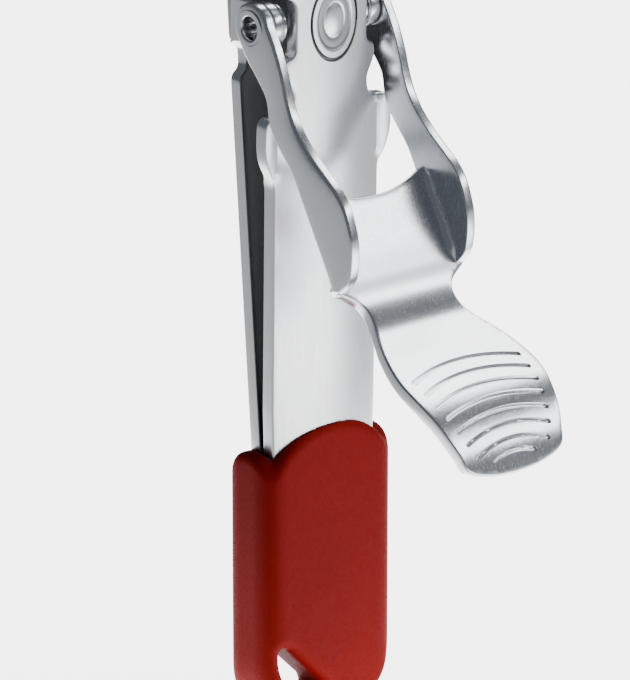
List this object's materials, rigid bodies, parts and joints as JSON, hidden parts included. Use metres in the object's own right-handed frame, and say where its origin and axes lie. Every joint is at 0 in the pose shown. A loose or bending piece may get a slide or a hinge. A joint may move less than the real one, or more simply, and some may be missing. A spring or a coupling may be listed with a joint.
{
  "type": "nail clipper",
  "caption": "Nail clipper with two sprung jaw strips, a forked lever that folds round over the head, and a moulded end cap with a key-ring window.",
  "frame": {"origin": "centre of the end cap's bottom face", "axes": "+Z along the clipper towards the cutting edges, -Y towards the lever's side, +X to the right seen from the lever's side"},
  "size_m": [0.013, 0.0272, 0.0611],
  "materials": {
    "polished_steel": "polished stainless",
    "satin_steel": "satin stainless",
    "rivet_steel": "polished stainless",
    "cap_plastic": "matt soft-touch"
  },
  "bodies": {
    "root": {"rear_jaw": "polished_steel", "front_jaw_tail": "satin_steel", "tail_rivets": "rivet_steel", "end_cap": "cap_plastic"},
    "front_jaw": {"front_jaw": "satin_steel"},
    "pivots": {"eyelet_left": "rivet_steel", "eyelet_right": "rivet_steel"},
    "lever": {"lever": "polished_steel"}
  },
  "joints": [
    {"name": "lever_press", "type": "hinge", "parent": "root", "child": "pivots", "pos_m": [0, -0.0003, 0.0546], "axis": [1, 0, 0], "range_deg": [0, 15]},
    {"name": "lever_fold", "type": "hinge", "parent": "pivots", "child": "lever", "pos_m": [0, -0.0003, 0.0546], "axis": [1, 0, 0], "range_deg": [-314, 0]},
    {"name": "jaw_close", "type": "hinge", "parent": "root", "child": "front_jaw", "pos_m": [0, -0.0002, 0.0214], "axis": [-1, 0, 0], "range_deg": [0, 3.6], "stiffness_Nm_per_rad": 0.6, "springref_deg": -2.86}
  ],
  "couplings": [
    {"joint": "jaw_close", "follows": "lever_press", "ratio": 0.24}
  ]
}
